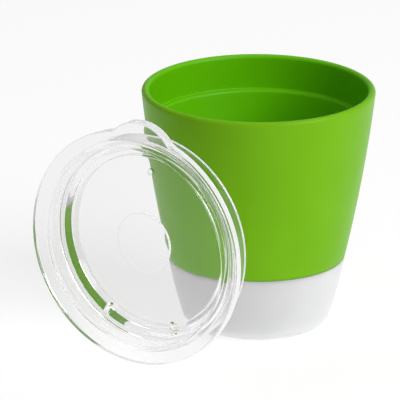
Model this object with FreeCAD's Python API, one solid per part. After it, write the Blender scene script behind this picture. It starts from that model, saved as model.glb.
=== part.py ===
import FreeCAD, Part
import math
import os

# Toddler's open cup with a separate clear training lid, in millimetres.
# The cup stands upright on z = 0, with its axis on the Z axis. The lid stands on edge in front of it,
# to the left, with its top side facing the viewer, who looks along +Y.

# Cup: outside
CUP_HEIGHT = 86.0            # floor to the top of the rim
RIM_RADIUS = 41.0            # outermost radius, at the rim
LIP_RADIUS = 1.35            # the rim is a full round of this radius
SEAM_HEIGHT = 24.8           # where the green wall meets the white base
SEAM_RADIUS = 30.95          # outer radius at the seam
WALL_BULGE = 0.85            # how far the wall above the seam bows out from its chord
FOOT_RADIUS = 24.6           # where the base's wall would meet the floor without its rounding
FOOT_BULGE = 0.45            # how far the wall below the seam bows out from its chord
FOOT_ROUNDING = 5.5          # rounding of the base's lower edge

# Cup: inside
MOUTH_RADIUS = 38.3          # straight bore above the ledge, which the lid's plug enters
LEDGE_DEPTH = 12.4           # rim's top to the ledge
LEDGE_RADIUS = 36.6          # inner radius of the ledge
LEDGE_EDGE_ROUNDING = 1.2    # soft inner edge of the ledge
LEDGE_CORNER_ROUNDING = 0.45 # hollow corner between the ledge and the mouth
FLOOR_HEIGHT = 8.0           # top of the inside floor
FLOOR_RADIUS = 22.0          # where the inside wall would meet the inside floor
FLOOR_ROUNDING = 7.0
INNER_BULGE = 1.5            # bow of the inside wall

# Base: a soft white shell over the lower end of the green body
BASE_SKIN = 2.0              # thickness of the white wall
BASE_FLOOR = 3.0             # thickness of the white floor
SOCKET_ROUNDING = 4.0        # rounding where the green body's floor meets its wall
SOCKET_STEP = 0.8            # how much thinner the white wall is at its foot than at the seam

# Lid: heights are measured down from the flange's top face
FLANGE_RADIUS = 42.2
FLANGE_THICKNESS = 3.8
FLANGE_ROUNDING = 0.5        # round its top edge
PLUG_RADIUS = 38.1           # outside of the wall that enters the cup's mouth
PLUG_DEPTH = 13.3            # flange's top to the plug's lower edge
PLUG_THICKNESS = 1.9
RECESS_RADIUS = 35.8         # inside of the plug wall, above the disc
RECESS_DEPTH = 7.4           # flange's top to the disc's top face
RECESS_ROUNDING = 1.2        # at both ends of the recess's wall
DISC_DEPTH = 9.9             # flange's top to the disc's underside
GROOVE_DEPTH = 8.6           # flange's top to the top of the groove between the plug and the rib
RIB_TOP_RADIUS = 34.2        # outside of the rib where it leaves the disc
RIB_RADIUS = 32.4            # outside of the rib at its lower edge
RIB_INNER_RADIUS = 31.0
RIB_DEPTH = 13.7             # flange's top to the rib's lower edge
EDGE_ROUNDING = 0.3          # every edge below the flange's top
PAD_RADIUS = 11.0            # plain raised pad in the middle of the disc
PAD_HEIGHT = 0.6
PAD_ROUNDING = 0.5
PAD_ROOT = 0.5               # how far the pad's block reaches into the disc

# Lid: pull tab and holes
TAB_DIRECTION = 5.0          # degrees from the lid's upright, towards the cup's side
TAB_RADIUS = 14.3
TAB_REACH = 46.4             # lid's axis to the tab's tip
TAB_BLEND = 6.0              # hollow rounding between the tab and the flange
FLOW_SLOT_WIDTH = 1.9
FLOW_SLOT_START = 29.4       # lid's axis to the inner end of the slots
FLOW_SLOT_END = 34.2         # lid's axis to their outer end, past the rib
FLOW_SLOT_SPREAD = 25.0      # degrees each side of the point opposite the tab
VENT_HOLE_RADIUS = 1.2
VENT_HOLE_PLACE = 26.2       # lid's axis to the vent hole
PIN_LENGTH = 20.0            # longer than the lid is deep

# Lid: where it stands
LID_X = -43.0
LID_Y = -46.8
LID_TURN = -32.6             # degrees about the vertical
LID_LEAN = -1.0              # degrees that its top side looks up

UP = FreeCAD.Vector(0, 0, 1)
ORIGIN = FreeCAD.Vector(0, 0, 0)
TOLERANCE = 0.001


def same(first, second):
    """Whether two lengths are equal as far as the modelling is exact."""
    return abs(first - second) < TOLERANCE


def at(radius, height):
    """A point of a turned outline."""
    return FreeCAD.Vector(radius, 0, height)


def line(start, end):
    """A straight edge."""
    return Part.LineSegment(start, end).toShape()


def bowed(start, end, bulge):
    """An arc from start to end whose middle stands out from its chord by bulge, away from the axis."""
    chord = end - start
    side = FreeCAD.Vector(abs(chord.z), 0, -chord.x if chord.z > 0 else chord.x)
    middle = (start + end) * 0.5 + side.normalize() * bulge
    return Part.Arc(start, middle, end).toShape()


def turned(edges):
    """The solid that a closed outline makes when it is turned about the Z axis."""
    face = Part.Face(Part.Wire(Part.__sortEdges__(edges)))
    return face.revolve(ORIGIN, UP, 360)


def rounded(solid, radius, *places):
    """Round the level circular edges at each (radius, height)."""
    chosen = []
    for edge in solid.Edges:
        curve = edge.Curve
        if not isinstance(curve, Part.Circle):
            continue
        for place_radius, height in places:
            if same(curve.Radius, place_radius) and same(curve.Center.z, height):
                chosen.append(edge)
    return solid.makeFillet(radius, chosen)


def socket_outline():
    """Upper end and lower corner of the wall that the green body and the white base share."""
    seam = at(SEAM_RADIUS - BASE_SKIN, SEAM_HEIGHT)
    corner = at(FOOT_RADIUS - BASE_SKIN + SOCKET_STEP, BASE_FLOOR)
    return seam, corner


def green_core():
    """The green body's outside, as a solid without its hollow."""
    seam, corner = socket_outline()
    shoulder = at(SEAM_RADIUS, SEAM_HEIGHT)
    lip_side = at(RIM_RADIUS, CUP_HEIGHT - LIP_RADIUS)
    lip_top = at(RIM_RADIUS - LIP_RADIUS, CUP_HEIGHT)
    lip_mid = at(
        RIM_RADIUS - LIP_RADIUS * (1 - math.sqrt(0.5)),
        CUP_HEIGHT - LIP_RADIUS * (1 - math.sqrt(0.5)),
    )
    core = turned([
        line(at(0, BASE_FLOOR), corner),
        bowed(corner, seam, FOOT_BULGE),
        line(seam, shoulder),
        bowed(shoulder, lip_side, WALL_BULGE),
        Part.Arc(lip_side, lip_mid, lip_top).toShape(),
        line(lip_top, at(0, CUP_HEIGHT)),
        line(at(0, CUP_HEIGHT), at(0, BASE_FLOOR)),
    ])
    return rounded(core, SOCKET_ROUNDING, (corner.x, corner.z))


def cup_hollow():
    """What the inside of the cup takes out: the room for the drink, the ledge and the mouth."""
    ledge_height = CUP_HEIGHT - LEDGE_DEPTH
    lip_height = CUP_HEIGHT - LIP_RADIUS
    lip_centre = RIM_RADIUS - LIP_RADIUS
    lip_inner = lip_centre - MOUTH_RADIUS
    floor_edge = at(FLOOR_RADIUS, FLOOR_HEIGHT)
    ledge_inner = at(LEDGE_RADIUS, ledge_height)
    lip_mid = at(lip_centre - lip_inner * math.sqrt(0.5), CUP_HEIGHT - LIP_RADIUS * (1 - math.sqrt(0.5)))
    hollow = turned([
        line(at(0, FLOOR_HEIGHT), floor_edge),
        bowed(floor_edge, ledge_inner, INNER_BULGE),
        line(ledge_inner, at(MOUTH_RADIUS, ledge_height)),
        line(at(MOUTH_RADIUS, ledge_height), at(MOUTH_RADIUS, lip_height)),
        Part.Arc(at(MOUTH_RADIUS, lip_height), lip_mid, at(lip_centre, CUP_HEIGHT)).toShape(),
        line(at(lip_centre, CUP_HEIGHT), at(0, CUP_HEIGHT)),
        line(at(0, CUP_HEIGHT), at(0, FLOOR_HEIGHT)),
    ])
    hollow = rounded(hollow, FLOOR_ROUNDING, (FLOOR_RADIUS, FLOOR_HEIGHT))
    hollow = rounded(hollow, LEDGE_CORNER_ROUNDING, (MOUTH_RADIUS, ledge_height))
    return rounded(hollow, LEDGE_EDGE_ROUNDING, (LEDGE_RADIUS, ledge_height))


def cup_body():
    """Green body: wall, rim, ledge and inside floor, one moulding."""
    return green_core().cut(cup_hollow())


def base_shell():
    """White soft base, moulded over the lower end of the green body and flush with its wall."""
    seam, corner = socket_outline()
    foot = at(FOOT_RADIUS, 0)
    shoulder = at(SEAM_RADIUS, SEAM_HEIGHT)
    block = turned([
        line(at(0, 0), foot),
        bowed(foot, shoulder, FOOT_BULGE),
        line(shoulder, at(0, SEAM_HEIGHT)),
        line(at(0, SEAM_HEIGHT), at(0, 0)),
    ])
    block = rounded(block, FOOT_ROUNDING, (FOOT_RADIUS, 0))
    socket = turned([
        line(at(0, BASE_FLOOR), corner),
        bowed(corner, seam, FOOT_BULGE),
        line(seam, at(0, SEAM_HEIGHT)),
        line(at(0, SEAM_HEIGHT), at(0, BASE_FLOOR)),
    ])
    socket = rounded(socket, SOCKET_ROUNDING, (corner.x, corner.z))
    return block.cut(socket)


def short_arc(start, centre, end):
    """The shorter of the two arcs from start to end about centre."""
    radius = (start - centre).Length
    middle = centre + ((start + end) * 0.5 - centre).normalize() * radius
    return Part.Arc(start, middle, end).toShape()


def flange_outline():
    """The flange's outline with its pull tab pointing along +Y, in the plane of its top face."""
    tab_centre = FreeCAD.Vector(0, TAB_REACH - TAB_RADIUS, 0)
    to_blend = FLANGE_RADIUS + TAB_BLEND
    across = TAB_RADIUS + TAB_BLEND
    cosine = (to_blend**2 + tab_centre.y**2 - across**2) / (2 * to_blend * tab_centre.y)
    spread = math.acos(cosine)
    blends = []
    for side in (-1, 1):
        outwards = FreeCAD.Vector(side * math.sin(spread), math.cos(spread), 0)
        centre = outwards * to_blend
        on_tab = centre + (tab_centre - centre).normalize() * TAB_BLEND
        blends.append((outwards * FLANGE_RADIUS, centre, on_tab))
    left, right = blends
    tip = FreeCAD.Vector(0, TAB_REACH, 0)
    bottom = FreeCAD.Vector(0, -FLANGE_RADIUS, 0)
    return [
        short_arc(*left),
        Part.Arc(left[2], tip, right[2]).toShape(),
        short_arc(*right),
        Part.Arc(right[0], bottom, left[0]).toShape(),
    ]


def flange_shape():
    """The flange with its pull tab, still solid across the middle."""
    face = Part.Face(Part.Wire(Part.__sortEdges__(flange_outline())))
    flange = face.extrude(UP * -FLANGE_THICKNESS)
    flange.rotate(ORIGIN, UP, -TAB_DIRECTION)
    top = [edge for edge in flange.Edges if same(edge.BoundBox.ZMin, 0)]
    flange = flange.makeFillet(FLANGE_ROUNDING, top)
    bottom = [edge for edge in flange.Edges if same(edge.BoundBox.ZMax, -FLANGE_THICKNESS)]
    return flange.makeFillet(EDGE_ROUNDING, bottom)


def plug_shape():
    """Everything below the flange: the plug's wall, the groove, the rib and the disc's underside."""
    plug_inner = PLUG_RADIUS - PLUG_THICKNESS
    corners = [
        (RIB_INNER_RADIUS, -DISC_DEPTH),
        (RIB_INNER_RADIUS, -RIB_DEPTH),
        (RIB_RADIUS, -RIB_DEPTH),
        (RIB_TOP_RADIUS, -GROOVE_DEPTH),
        (plug_inner, -GROOVE_DEPTH),
        (plug_inner, -PLUG_DEPTH),
        (PLUG_RADIUS, -PLUG_DEPTH),
    ]
    outline = [(0, -DISC_DEPTH), *corners, (PLUG_RADIUS, -FLANGE_THICKNESS), (0, -FLANGE_THICKNESS)]
    outline.append(outline[0])
    edges = [line(at(*start), at(*end)) for start, end in zip(outline, outline[1:])]
    return rounded(turned(edges), EDGE_ROUNDING, *corners)


def slot_pin(width, start, end, direction):
    """A pin for cutting a round-ended slot that runs outwards from start to end.

    The direction is in degrees from the lid's upright, clockwise from above."""
    half = width / 2
    corner = FreeCAD.Vector(-half, start + half, -PIN_LENGTH)
    pin = Part.makeBox(width, end - start - width, PIN_LENGTH, corner)
    for place in (start + half, end - half):
        pin = pin.fuse(Part.makeCylinder(half, PIN_LENGTH, FreeCAD.Vector(0, place, -PIN_LENGTH), UP))
    pin = pin.removeSplitter()
    pin.rotate(ORIGIN, UP, -direction)
    return pin


def vent_pin():
    """A pin for cutting the vent hole, near the tab."""
    foot = FreeCAD.Vector(0, VENT_HOLE_PLACE, -PIN_LENGTH)
    pin = Part.makeCylinder(VENT_HOLE_RADIUS, PIN_LENGTH, foot, UP)
    pin.rotate(ORIGIN, UP, -TAB_DIRECTION)
    return pin


def hole_pins():
    """Pins for the vent hole and the two flow slots, which cross the rib opposite the tab."""
    pins = [vent_pin()]
    for side in (-1, 1):
        direction = TAB_DIRECTION + 180 + side * FLOW_SLOT_SPREAD
        pins.append(slot_pin(FLOW_SLOT_WIDTH, FLOW_SLOT_START, FLOW_SLOT_END, direction))
    return pins


def lid_shape():
    """Clear lid, one moulding, with its top face on z = 0 and its upper side towards +Z."""
    recess = Part.makeCylinder(RECESS_RADIUS, RECESS_DEPTH, at(0, -RECESS_DEPTH), UP)
    recess = rounded(recess, RECESS_ROUNDING, (RECESS_RADIUS, -RECESS_DEPTH))
    lid = flange_shape().fuse(plug_shape()).cut(recess).removeSplitter()
    lid = rounded(lid, RECESS_ROUNDING, (RECESS_RADIUS, 0))
    pad_top = PAD_HEIGHT - RECESS_DEPTH
    pad = Part.makeCylinder(PAD_RADIUS, PAD_HEIGHT + PAD_ROOT, at(0, -RECESS_DEPTH - PAD_ROOT), UP)
    lid = lid.fuse(rounded(pad, PAD_ROUNDING, (PAD_RADIUS, pad_top)))
    for pin in hole_pins():
        lid = lid.cut(pin)
    return lid.removeSplitter()


def stood_on_edge(lid):
    """Turn the lid upright and put it on the floor beside the cup."""
    lean = math.radians(LID_LEAN)
    height = FLANGE_RADIUS * math.cos(lean) + FLANGE_ROUNDING * math.sin(lean)
    upright = FreeCAD.Rotation(FreeCAD.Vector(1, 0, 0), 90 - LID_LEAN)
    turn = FreeCAD.Rotation(UP, LID_TURN)
    lid.Placement = FreeCAD.Placement(FreeCAD.Vector(LID_X, LID_Y, height), turn.multiply(upright))
    return lid


def write(name, shape):
    solids = shape.Solids
    if len(solids) != 1 or not shape.isValid():
        raise ValueError(name + " is not one valid solid")
    solids[0].exportStep(os.path.join("parts", name + ".step"))
    box = shape.BoundBox
    print(f"{name}: {shape.Volume / 1000:.2f} cm3, z {box.ZMin:.3f} to {box.ZMax:.3f}")


os.makedirs("parts", exist_ok=True)
write("cup_body", cup_body())
write("base_shell", base_shell())
write("lid", stood_on_edge(lid_shape()))
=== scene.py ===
import math
import bmesh
import bpy
from mathutils import Matrix, Vector


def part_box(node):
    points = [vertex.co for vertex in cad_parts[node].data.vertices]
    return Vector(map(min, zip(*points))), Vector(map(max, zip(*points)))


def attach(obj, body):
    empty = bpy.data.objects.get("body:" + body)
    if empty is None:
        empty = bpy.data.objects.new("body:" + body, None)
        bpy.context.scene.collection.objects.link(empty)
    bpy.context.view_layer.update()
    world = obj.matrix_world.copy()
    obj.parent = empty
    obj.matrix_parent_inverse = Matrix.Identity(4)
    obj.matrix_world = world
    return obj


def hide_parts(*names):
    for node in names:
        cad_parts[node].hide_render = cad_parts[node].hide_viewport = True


# A toddler's cup with a white base, and its clear training lid standing on edge in front of it.
# The shapes' lengths are in millimetres, as in the part's own source, until MM takes them to metres.

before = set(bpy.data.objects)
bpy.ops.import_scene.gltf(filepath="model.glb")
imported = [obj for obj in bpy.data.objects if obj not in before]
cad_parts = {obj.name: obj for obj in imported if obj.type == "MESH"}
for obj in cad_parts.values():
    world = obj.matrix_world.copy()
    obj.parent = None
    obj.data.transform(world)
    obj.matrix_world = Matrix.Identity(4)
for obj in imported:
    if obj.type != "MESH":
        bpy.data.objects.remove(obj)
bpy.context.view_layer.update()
MM = 0.001

# Cup: outside
CUP_HEIGHT = 86.0
RIM_RADIUS = 41.0
LIP_RADIUS = 1.35
SEAM_HEIGHT = 24.8
SEAM_RADIUS = 30.95
WALL_BULGE = 0.85
FOOT_RADIUS = 24.6
FOOT_BULGE = 0.45
FOOT_ROUNDING = 5.5

# Cup: inside
MOUTH_RADIUS = 38.3
LEDGE_DEPTH = 12.4
LEDGE_RADIUS = 36.6
LEDGE_EDGE_ROUNDING = 1.2
LEDGE_CORNER_ROUNDING = 0.45
FLOOR_HEIGHT = 8.0
FLOOR_RADIUS = 22.0
FLOOR_ROUNDING = 7.0
INNER_BULGE = 1.5
BASE_SKIN = 2.0
BASE_FLOOR = 3.0
SOCKET_STEP = 0.8
SOCKET_ROUNDING = 4.0

# Lid: depths are below the flange's top face
FLANGE_RADIUS = 42.2
FLANGE_THICKNESS = 3.8
FLANGE_ROUNDING = 0.5
PLUG_RADIUS = 38.1
PLUG_DEPTH = 13.3
PLUG_THICKNESS = 1.9
RECESS_RADIUS = 35.8
RECESS_DEPTH = 7.4
RECESS_ROUNDING = 1.2
DISC_DEPTH = 9.9
GROOVE_DEPTH = 8.6
RIB_TOP_RADIUS = 34.2
RIB_RADIUS = 32.4
RIB_INNER_RADIUS = 31.0
RIB_DEPTH = 13.7
EDGE_ROUNDING = 0.3
PAD_RADIUS = 11.0
PAD_HEIGHT = 0.6
PAD_ROUNDING = 0.5
TAB_DIRECTION = 5.0
TAB_RADIUS = 14.3
TAB_REACH = 46.4
TAB_BLEND = 6.0
FLOW_SLOT_WIDTH = 1.9
FLOW_SLOT_START = 29.4
FLOW_SLOT_END = 34.2
FLOW_SLOT_SPREAD = 25.0
VENT_HOLE_RADIUS = 1.2
VENT_HOLE_PLACE = 26.2
LID_TURN = -32.6
LID_LEAN = -1.0

# Mesh fineness
TURN_STEPS = 720             # columns round each turned piece
ROUNDING_STEP = 6            # degrees of a rounding between two rings
SHARP_ANGLE = 50             # degrees between two faces beyond which their edge is crisp
RING_SPACING = 2.0           # longest straight run between two rings
TAB_ROOT = 0.35              # distance outside the plug's wall beyond which rings follow the tab
HOLE_STEPS = 48              # sides of a hole
WALL_STEPS = 48              # pieces of a bowed wall of the green body
SOCKET_STEPS = 24            # pieces of a bowed wall of the base
LIP_STEPS = 12               # pieces of a quarter of the lip
JOINING_STEPS = 2            # pieces of the inside wall that the ledge's rounded edge takes up
FLOOR_CORNER_REACH = 1.3     # how high the floor's rounded corner comes, in its own roundings
FLOOR_CORNER = 0.3           # how far outside the floor's radius its rounded corner is set


def bowed(start, end, bulge, steps):
    """Points of the arc from start to end whose middle stands out by bulge, away from the axis."""
    start, end = Vector(start), Vector(end)
    chord = end - start
    side = Vector((abs(chord.y), -chord.x if chord.y > 0 else chord.x)).normalized()
    radius = (chord.length_squared / 4 + bulge * bulge) / (2 * bulge)
    centre = (start + end) / 2 - side * (radius - bulge)
    first = math.atan2(start.y - centre.y, start.x - centre.x)
    last = math.atan2(end.y - centre.y, end.x - centre.x)
    points = []
    for k in range(steps + 1):
        angle = first + (last - first) * k / steps
        points.append((centre.x + radius * math.cos(angle), centre.y + radius * math.sin(angle)))
    return points


def rounded(corners):
    """Points of an outline whose corners are (radius, height, rounding)."""
    points = []
    for k, (radius, height, rounding) in enumerate(corners):
        if rounding <= 0 or k in (0, len(corners) - 1):
            points.append((radius, height))
            continue
        corner = Vector((radius, height))
        back = (Vector(corners[k - 1][:2]) - corner).normalized()
        ahead = (Vector(corners[k + 1][:2]) - corner).normalized()
        half = back.angle(ahead) / 2
        centre = corner + (back + ahead).normalized() * (rounding / math.sin(half))
        start = corner + back * (rounding / math.tan(half)) - centre
        end = corner + ahead * (rounding / math.tan(half)) - centre
        first = math.atan2(start.y, start.x)
        swing = (math.atan2(end.y, end.x) - first + math.pi) % (2 * math.pi) - math.pi
        steps = max(2, int(abs(math.degrees(swing)) / ROUNDING_STEP) + 1)
        for step in range(steps + 1):
            angle = first + swing * step / steps
            points.append((centre.x + rounding * math.cos(angle), centre.y + rounding * math.sin(angle)))
    return points


def divided(points):
    """The same outline with its long straight runs cut into short ones."""
    finer = [points[0]]
    for near, far in zip(points, points[1:]):
        count = max(1, math.ceil(math.dist(near, far) / RING_SPACING))
        for k in range(1, count + 1):
            part = k / count
            finer.append((near[0] + (far[0] - near[0]) * part, near[1] + (far[1] - near[1]) * part))
    return finer


def turned(name, points, column=None):
    """A closed mesh turned about the Z axis from (radius, height) points that start and end on it.

    column, where given, takes a radius and an angle and returns the radius in that direction."""
    mesh = bmesh.new()
    rings = []
    for radius, height in divided(points):
        if radius < 1e-6:
            rings.append([mesh.verts.new((0, 0, height * MM))])
            continue
        ring = []
        for k in range(TURN_STEPS):
            angle = 2 * math.pi * k / TURN_STEPS
            reach = column(radius, angle) if column else radius
            x = reach * math.sin(angle)
            y = reach * math.cos(angle)
            ring.append(mesh.verts.new((x * MM, y * MM, height * MM)))
        rings.append(ring)
    for near, far in zip(rings, rings[1:]):
        for k in range(TURN_STEPS):
            after = (k + 1) % TURN_STEPS
            if len(near) == 1:
                mesh.faces.new((near[0], far[k], far[after]))
            elif len(far) == 1:
                mesh.faces.new((near[k], far[0], near[after]))
            else:
                mesh.faces.new((near[k], far[k], far[after], near[after]))
    bmesh.ops.recalc_face_normals(mesh, faces=mesh.faces)
    data = bpy.data.meshes.new(name)
    mesh.to_mesh(data)
    mesh.free()
    for face in data.polygons:
        face.use_smooth = True
    piece = bpy.data.objects.new(name, data)
    bpy.context.scene.collection.objects.link(piece)
    return piece


# ---------------------------------------------------------------- cup

def rounded_foot(side, rounding):
    """A wall's points from its lower corner up, with that corner rounded into the level below it."""
    foot = side[0]
    wall = [point for point in side if point[1] > foot[1] + rounding]
    return rounded([(0, foot[1], 0), (*foot, rounding), (*wall[0], 0)]) + wall[1:]


def socket_outline():
    """The face that the green body and the white base share, from the middle up to the seam."""
    foot = (FOOT_RADIUS - BASE_SKIN + SOCKET_STEP, BASE_FLOOR)
    seam = (SEAM_RADIUS - BASE_SKIN, SEAM_HEIGHT)
    return rounded_foot(bowed(foot, seam, FOOT_BULGE, SOCKET_STEPS), SOCKET_ROUNDING)


def body_outline():
    """Outline of the green body, from under its floor, up its outside, over the lip and down its inside."""
    outer_seam = (SEAM_RADIUS, SEAM_HEIGHT)
    lip_height = CUP_HEIGHT - LIP_RADIUS
    lip_centre = RIM_RADIUS - LIP_RADIUS
    lip_inner = lip_centre - MOUTH_RADIUS
    points = socket_outline()
    points += bowed(outer_seam, (RIM_RADIUS, lip_height), WALL_BULGE, WALL_STEPS)
    for k in range(1, 2 * LIP_STEPS + 1):
        angle = math.pi * k / (2 * LIP_STEPS)
        reach = LIP_RADIUS if k <= LIP_STEPS else lip_inner
        points.append((lip_centre + reach * math.cos(angle), lip_height + LIP_RADIUS * math.sin(angle)))
    ledge_height = CUP_HEIGHT - LEDGE_DEPTH
    floor_corner_top = FLOOR_HEIGHT + FLOOR_ROUNDING * FLOOR_CORNER_REACH
    wall = bowed((LEDGE_RADIUS, ledge_height), (FLOOR_RADIUS, FLOOR_HEIGHT), INNER_BULGE, WALL_STEPS)
    wall = [point for point in wall[JOINING_STEPS:] if point[1] > floor_corner_top]
    points += rounded([
        (MOUTH_RADIUS, lip_height - 1, 0),
        (MOUTH_RADIUS, ledge_height, LEDGE_CORNER_ROUNDING),
        (LEDGE_RADIUS, ledge_height, LEDGE_EDGE_ROUNDING),
        (*wall[0], 0),
    ])[1:-1]
    points += wall
    points += rounded([
        (*wall[-1], 0),
        (FLOOR_RADIUS + FLOOR_CORNER, FLOOR_HEIGHT, FLOOR_ROUNDING),
        (0, FLOOR_HEIGHT, 0),
    ])[1:]
    return points


def base_outline():
    """Outline of the white base, from the middle of its underside to the middle of its socket."""
    side = bowed((FOOT_RADIUS, 0), (SEAM_RADIUS, SEAM_HEIGHT), FOOT_BULGE, SOCKET_STEPS)
    points = rounded_foot(side, FOOT_ROUNDING)
    return points + socket_outline()[::-1]


# ---------------------------------------------------------------- lid

def flange_reach(inset, angle):
    """Distance from the lid's axis to its outline with the pull tab, moved inwards by inset."""
    flange = FLANGE_RADIUS - inset
    tab = TAB_RADIUS - inset
    blend = TAB_BLEND + inset
    tab_centre = TAB_REACH - TAB_RADIUS
    away = abs((angle - math.radians(TAB_DIRECTION) + math.pi) % (2 * math.pi) - math.pi)
    to_blend = flange + blend
    cosine = (to_blend**2 + tab_centre**2 - (tab + blend) ** 2) / (2 * to_blend * tab_centre)
    spread = math.acos(cosine)
    if away >= spread:
        return flange
    blend_centre = Vector((to_blend * math.sin(spread), to_blend * math.cos(spread)))
    middle = Vector((0, tab_centre))
    on_tab = blend_centre + (middle - blend_centre).normalized() * blend
    toward = Vector((math.sin(away), math.cos(away)))
    if away >= math.atan2(on_tab.x, on_tab.y):
        along = blend_centre.dot(toward)
        return along - math.sqrt(max(0, along**2 - blend_centre.length_squared + blend**2))
    along = middle.dot(toward)
    return along + math.sqrt(max(0, along**2 - middle.length_squared + tab**2))


def lid_reach(radius, angle):
    """Only what lies outside the plug follows the outline with the tab; the rest is round."""
    if radius > PLUG_RADIUS + TAB_ROOT:
        return flange_reach(FLANGE_RADIUS - radius, angle)
    return radius


def lid_outline():
    """From the middle of the disc's top, over the flange, down the plug and rib, to the disc's underside."""
    plug_inner = PLUG_RADIUS - PLUG_THICKNESS
    return rounded([
        (0, PAD_HEIGHT - RECESS_DEPTH, 0),
        (PAD_RADIUS, PAD_HEIGHT - RECESS_DEPTH, PAD_ROUNDING),
        (PAD_RADIUS, -RECESS_DEPTH, 0),
        (RECESS_RADIUS, -RECESS_DEPTH, RECESS_ROUNDING),
        (RECESS_RADIUS, 0, RECESS_ROUNDING),
        (FLANGE_RADIUS, 0, FLANGE_ROUNDING),
        (FLANGE_RADIUS, -FLANGE_THICKNESS, EDGE_ROUNDING),
        (PLUG_RADIUS, -FLANGE_THICKNESS, 0),
        (PLUG_RADIUS, -PLUG_DEPTH, EDGE_ROUNDING),
        (plug_inner, -PLUG_DEPTH, EDGE_ROUNDING),
        (plug_inner, -GROOVE_DEPTH, EDGE_ROUNDING),
        (RIB_TOP_RADIUS, -GROOVE_DEPTH, EDGE_ROUNDING),
        (RIB_RADIUS, -RIB_DEPTH, EDGE_ROUNDING),
        (RIB_INNER_RADIUS, -RIB_DEPTH, EDGE_ROUNDING),
        (RIB_INNER_RADIUS, -DISC_DEPTH, EDGE_ROUNDING),
        (0, -DISC_DEPTH, 0),
    ])


def stand_on_edge(piece):
    """Turn the lid upright and set it in the box of the frame's own lid."""
    low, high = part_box("lid")
    lean = math.radians(90 - LID_LEAN)
    upright = Matrix.Rotation(math.radians(LID_TURN), 4, "Z") @ Matrix.Rotation(lean, 4, "X")
    piece.data.transform(upright)
    own_low = Vector([min(v.co[k] for v in piece.data.vertices) for k in range(3)])
    own_high = Vector([max(v.co[k] for v in piece.data.vertices) for k in range(3)])
    fit = min((high[k] - low[k]) / (own_high[k] - own_low[k]) for k in range(3))
    centred = Matrix.Scale(fit, 4) @ Matrix.Translation(-(own_low + own_high) / 2)
    piece.data.transform(Matrix.Translation((low + high) / 2) @ centred)
    return piece


def hole_pin(width, start, end, direction):
    """A pin through the disc: a round-ended slot's shape, running outwards from the lid's axis."""
    half = width / 2
    away = math.radians(direction)
    mesh = bmesh.new()
    ends = []
    for height in (PLUG_DEPTH, -2 * PLUG_DEPTH):
        ring = []
        for k in range(HOLE_STEPS):
            angle = 2 * math.pi * (k + 0.5) / HOLE_STEPS
            across = half * math.sin(angle)
            along = half * math.cos(angle) + (end - half if math.cos(angle) > 0 else start + half)
            x = along * math.sin(away) + across * math.cos(away)
            y = along * math.cos(away) - across * math.sin(away)
            ring.append(mesh.verts.new((x * MM, y * MM, height * MM)))
        ends.append(ring)
    top, bottom = ends
    mesh.faces.new(top)
    mesh.faces.new(bottom[::-1])
    for k in range(HOLE_STEPS):
        after = (k + 1) % HOLE_STEPS
        mesh.faces.new((top[k], bottom[k], bottom[after], top[after]))
    bmesh.ops.recalc_face_normals(mesh, faces=mesh.faces)
    data = bpy.data.meshes.new("pin")
    mesh.to_mesh(data)
    mesh.free()
    pin = bpy.data.objects.new("pin", data)
    bpy.context.scene.collection.objects.link(pin)
    return pin


def cut_out(piece, pin):
    """Take the pin's shape out of the piece, and remove the pin."""
    cut = piece.modifiers.new("hole", "BOOLEAN")
    cut.object = pin
    cut.operation = "DIFFERENCE"
    cut.solver = "EXACT"
    bpy.context.view_layer.update()
    result = bpy.data.meshes.new_from_object(piece.evaluated_get(bpy.context.evaluated_depsgraph_get()))
    piece.modifiers.remove(cut)
    whole = piece.data
    piece.data = result
    bpy.data.meshes.remove(whole)
    pin_data = pin.data
    bpy.data.objects.remove(pin)
    bpy.data.meshes.remove(pin_data)


def bored(piece):
    """Cut the vent hole by the tab and the two flow slots opposite it."""
    vent_start = VENT_HOLE_PLACE - VENT_HOLE_RADIUS
    vent_end = VENT_HOLE_PLACE + VENT_HOLE_RADIUS
    cut_out(piece, hole_pin(2 * VENT_HOLE_RADIUS, vent_start, vent_end, TAB_DIRECTION))
    for side in (-1, 1):
        direction = TAB_DIRECTION + 180 + side * FLOW_SLOT_SPREAD
        cut_out(piece, hole_pin(FLOW_SLOT_WIDTH, FLOW_SLOT_START, FLOW_SLOT_END, direction))
    piece.data.name = piece.name
    piece.data.set_sharp_from_angle(angle=math.radians(SHARP_ANGLE))
    return piece


# ---------------------------------------------------------------- materials

MIX_COLOUR_INPUTS = (6, 7)   # sockets of the Mix node that take colours
MIX_COLOUR_RESULT = 2


def new_material(name):
    """A new material, its nodes, its links and its main shader."""
    material = bpy.data.materials.new(name)
    material.use_nodes = True
    nodes = material.node_tree.nodes
    return material, nodes, material.node_tree.links, nodes["Principled BSDF"]


def noise(nodes, links, scale, detail=3.0, rough=0.55, stretch=(1, 1, 1)):
    """Noise in the piece's own coordinates; scale is in cycles per metre."""
    place = nodes.new("ShaderNodeTexCoord")
    mapping = nodes.new("ShaderNodeMapping")
    mapping.inputs["Scale"].default_value = stretch
    texture = nodes.new("ShaderNodeTexNoise")
    texture.inputs["Scale"].default_value = scale
    texture.inputs["Detail"].default_value = detail
    texture.inputs["Roughness"].default_value = rough
    links.new(place.outputs["Object"], mapping.inputs["Vector"])
    links.new(mapping.outputs["Vector"], texture.inputs["Vector"])
    return texture.outputs["Fac"]


def ranged(nodes, links, value, low, high, out_low, out_high):
    """The value taken from low..high to out_low..out_high."""
    node = nodes.new("ShaderNodeMapRange")
    node.inputs["From Min"].default_value = low
    node.inputs["From Max"].default_value = high
    node.inputs["To Min"].default_value = out_low
    node.inputs["To Max"].default_value = out_high
    links.new(value, node.inputs["Value"])
    return node.outputs["Result"]


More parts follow.
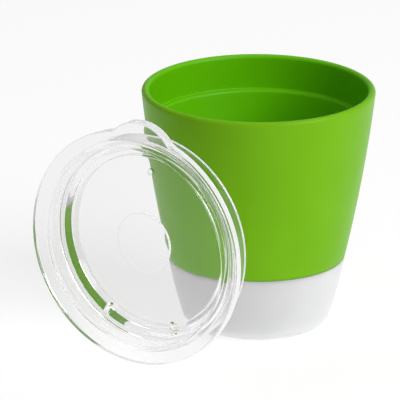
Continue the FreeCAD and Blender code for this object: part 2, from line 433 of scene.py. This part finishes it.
def bumped(nodes, links, shader, layers):
    """Stack bumps on the shader's normal; layers are (height socket, distance in millimetres, strength)."""
    normal = None
    for height, distance, strength in layers:
        bump = nodes.new("ShaderNodeBump")
        bump.inputs["Distance"].default_value = distance * MM
        bump.inputs["Strength"].default_value = strength
        links.new(height, bump.inputs["Height"])
        if normal:
            links.new(normal, bump.inputs["Normal"])
        normal = bump.outputs["Normal"]
    links.new(normal, shader.inputs["Normal"])


def tones(nodes, links, value, first, second):
    """Colour that goes from the first to the second as the value goes from 0 to 1.

    Each is a colour or the output of another node."""
    mix = nodes.new("ShaderNodeMix")
    mix.data_type = "RGBA"
    for place, tone in zip(MIX_COLOUR_INPUTS, (first, second)):
        if isinstance(tone, tuple):
            mix.inputs[place].default_value = (*tone, 1)
        else:
            links.new(tone, mix.inputs[place])
    links.new(value, mix.inputs["Factor"])
    return mix.outputs[MIX_COLOUR_RESULT]


def inside_painted_bounce_mask(nodes, links):
    """1 where a turned piece's surface faces its axis, and 0 where it faces away: where the green's painted
    bounce light inside the cup goes.
    """
    place = nodes.new("ShaderNodeTexCoord")
    level = nodes.new("ShaderNodeVectorMath")
    level.operation = "MULTIPLY"
    level.inputs[1].default_value = (1, 1, 0)
    radial = nodes.new("ShaderNodeVectorMath")
    radial.operation = "NORMALIZE"
    facing = nodes.new("ShaderNodeVectorMath")
    facing.operation = "DOT_PRODUCT"
    links.new(place.outputs["Object"], level.inputs[0])
    links.new(level.outputs["Vector"], radial.inputs[0])
    links.new(radial.outputs["Vector"], facing.inputs[0])
    links.new(place.outputs["Normal"], facing.inputs[1])
    return ranged(nodes, links, facing.outputs["Value"], -0.5, 0.3, 1, 0)


def green_plastic():
    """Satin polypropylene: a fine spark-eroded texture, slow tone drift, faint handling marks, and painted
    bounce light: a deeper, richer green on the faces inside the cup, though the cup is one colour throughout.
    """
    material, nodes, links, shader = new_material("satin_green")
    drift = ranged(nodes, links, noise(nodes, links, 45, detail=2), 0.35, 0.65, 0, 1)
    outside = tones(nodes, links, drift, (0.152, 0.410, 0.0005), (0.162, 0.430, 0.0015))
    # painted bounce light: faces turned to the axis get a deeper, more saturated green, standing in for the
    # colour that light picks up bouncing around inside the cup
    inside = tones(nodes, links, drift, (0.116, 0.470, 0.0002), (0.122, 0.490, 0.0006))
    blend = tones(nodes, links, inside_painted_bounce_mask(nodes, links), outside, inside)
    links.new(blend, shader.inputs["Base Color"])
    smear = noise(nodes, links, 160, detail=4, stretch=(1, 1, 0.35))
    links.new(ranged(nodes, links, smear, 0.3, 0.7, 0.33, 0.43), shader.inputs["Roughness"])
    shader.inputs["IOR"].default_value = 1.49
    shader.inputs["Specular IOR Level"].default_value = 0.14
    grain = noise(nodes, links, 2600, detail=2)
    waves = noise(nodes, links, 60, detail=1)
    bumped(nodes, links, shader, [(waves, 0.12, 0.25), (grain, 0.006, 0.2)])
    return material


def white_soft():
    """Matte thermoplastic elastomer that light soaks into, with a fine grain."""
    material, nodes, links, shader = new_material("soft_white")
    drift = noise(nodes, links, 70, detail=3)
    spread = ranged(nodes, links, drift, 0.35, 0.65, 0, 1)
    tone = tones(nodes, links, spread, (0.81, 0.805, 0.825), (0.79, 0.79, 0.81))
    links.new(tone, shader.inputs["Base Color"])
    links.new(ranged(nodes, links, drift, 0.3, 0.7, 0.56, 0.68), shader.inputs["Roughness"])
    shader.inputs["Subsurface Weight"].default_value = 1.0
    shader.inputs["Subsurface Radius"].default_value = (1, 1, 1)
    shader.inputs["Subsurface Scale"].default_value = 8 * MM
    shader.inputs["IOR"].default_value = 1.45
    shader.inputs["Specular IOR Level"].default_value = 0.3
    grain = noise(nodes, links, 2200, detail=2)
    waves = noise(nodes, links, 70, detail=1)
    bumped(nodes, links, shader, [(waves, 0.12, 0.25), (grain, 0.025, 0.4)])
    return material


def clear_plastic():
    """Water-clear copolyester: nearly smooth, with flow waves and fine handling scratches."""
    material, nodes, links, shader = new_material("water_clear")
    shader.inputs["Base Color"].default_value = (0.92, 0.915, 0.92, 1)
    shader.inputs["Transmission Weight"].default_value = 1.0
    shader.inputs["Specular Tint"].default_value = (0.7, 0.7, 0.7, 1)
    shader.inputs["IOR"].default_value = 1.49
    marks = noise(nodes, links, 900, detail=5, stretch=(1, 1, 0.2))
    links.new(ranged(nodes, links, marks, 0.62, 0.85, 0.0, 0.02), shader.inputs["Roughness"])
    flow = noise(nodes, links, 55, detail=1)
    bumped(nodes, links, shader, [(flow, 0.05, 0.3)])
    return material


def pale_floor():
    """Plain matte white that gives off some light of its own, so that it fades into the studio."""
    material, nodes, links, shader = new_material("floor")
    shader.inputs["Base Color"].default_value = (0.35, 0.35, 0.35, 1)
    shader.inputs["Roughness"].default_value = 0.9
    shader.inputs["Specular IOR Level"].default_value = 0.0
    shader.inputs["Emission Color"].default_value = (1, 1, 1, 1)
    shader.inputs["Emission Strength"].default_value = 0.68
    return material


# ---------------------------------------------------------------- stage

LIGHT_TURNS = 40             # times that light may turn inside the clear lid
FLOOR_REACH = 3.0
CAMERA_DISTANCE = 1.9719
CAMERA_ELEVATION = 18.68
CAMERA_ROLL = 0.25
AIM_ACROSS = -0.02034        # towards the lid from the cup's axis, in metres
AIM_ABOVE = 0.0013           # above half the cup's height, in metres
FOCAL_LENGTH = 503.5
SENSOR = 36.0


def add_camera():
    """A long lens at the height of a seated viewer, aimed between the cup and the lid."""
    middle_height = CUP_HEIGHT / 2 * MM
    elevation = math.radians(CAMERA_ELEVATION)
    data = bpy.data.cameras.new("camera")
    data.sensor_width = SENSOR
    data.lens = FOCAL_LENGTH
    data.clip_end = 20
    camera = bpy.data.objects.new("camera", data)
    bpy.context.scene.collection.objects.link(camera)
    away = CAMERA_DISTANCE * math.cos(elevation)
    above = CAMERA_DISTANCE * math.sin(elevation)
    place = Vector((0, -away, middle_height + above))
    aim = Vector((AIM_ACROSS, 0, middle_height + AIM_ABOVE))
    look = (aim - place).to_track_quat("-Z", "Y").to_matrix().to_4x4()
    camera.location = place
    camera.rotation_euler = (look @ Matrix.Rotation(math.radians(CAMERA_ROLL), 4, "Z")).to_euler()
    bpy.context.scene.camera = camera


def soft_light(name, place, aim, size, power):
    """A square soft box at a place, turned to its aim; metres and watts."""
    data = bpy.data.lights.new(name, "AREA")
    data.energy = power
    data.size = size
    light = bpy.data.objects.new(name, data)
    bpy.context.scene.collection.objects.link(light)
    light.location = place
    light.rotation_euler = (Vector(aim) - Vector(place)).to_track_quat("-Z", "Y").to_euler()


def add_world():
    """A white studio, dimmer at the front left than at the back right, and brighter through the clear lid."""
    world = bpy.data.worlds.new("studio")
    bpy.context.scene.world = world
    world.use_nodes = True
    nodes, links = world.node_tree.nodes, world.node_tree.links
    background = nodes["Background"]
    place = nodes.new("ShaderNodeTexCoord")
    toward = nodes.new("ShaderNodeVectorMath")
    toward.operation = "DOT_PRODUCT"
    toward.inputs[1].default_value = (-0.9, -0.35, 0)
    links.new(place.outputs["Generated"], toward.inputs[0])
    path = nodes.new("ShaderNodeLightPath")
    through = nodes.new("ShaderNodeMix")
    links.new(path.outputs["Is Transmission Ray"], through.inputs["Factor"])
    links.new(ranged(nodes, links, toward.outputs["Value"], -0.9, 0.9, 0.52, 0.22), through.inputs["A"])
    through.inputs["B"].default_value = 0.85
    level = nodes.new("ShaderNodeMix")
    links.new(path.outputs["Is Camera Ray"], level.inputs["Factor"])
    links.new(through.outputs["Result"], level.inputs["A"])
    level.inputs["B"].default_value = 1.0
    links.new(level.outputs["Result"], background.inputs["Strength"])
    background.inputs["Color"].default_value = (1, 1, 1, 1)


def let_light_through():
    """Let light turn many times inside the clear lid's walls before it is given up as dark."""
    paths = bpy.context.scene.cycles
    paths.max_bounces = LIGHT_TURNS
    paths.glossy_bounces = LIGHT_TURNS
    paths.transmission_bounces = LIGHT_TURNS


def add_floor():
    """A wide sheet at the height that the cup stands on."""
    side = FLOOR_REACH
    data = bpy.data.meshes.new("floor")
    corners = [(-side, -side, 0), (side, -side, 0), (side, side, 0), (-side, side, 0)]
    data.from_pydata(corners, [], [(0, 1, 2, 3)])
    floor = bpy.data.objects.new("floor", data)
    bpy.context.scene.collection.objects.link(floor)
    data.materials.append(pale_floor())


def place_piece(piece, material, node, body):
    """Give a piece its material, and let it ride and stand for its CAD node."""
    piece.data.materials.clear()
    piece.data.materials.append(material)
    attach(piece, body)
    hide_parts(node)


place_piece(turned("cup_wall", body_outline()), green_plastic(), "cup_body", "cup")
place_piece(turned("cup_base", base_outline()), white_soft(), "base_shell", "cup")
clear_lid = stand_on_edge(bored(turned("clear_lid", lid_outline(), lid_reach)))
place_piece(clear_lid, clear_plastic(), "lid", "lid")
clear_lid.visible_shadow = False     # light passes through clear plastic

add_floor()
add_world()
soft_light("key", (0.92, -0.71, 0.9), (0, 0, 0.04), 0.9, 15.5)
soft_light("top", (-0.1, 0.35, 1.3), (0, 0, 0.05), 0.9, 3)
add_camera()
let_light_through()
bpy.context.scene.view_settings.view_transform = "Standard"
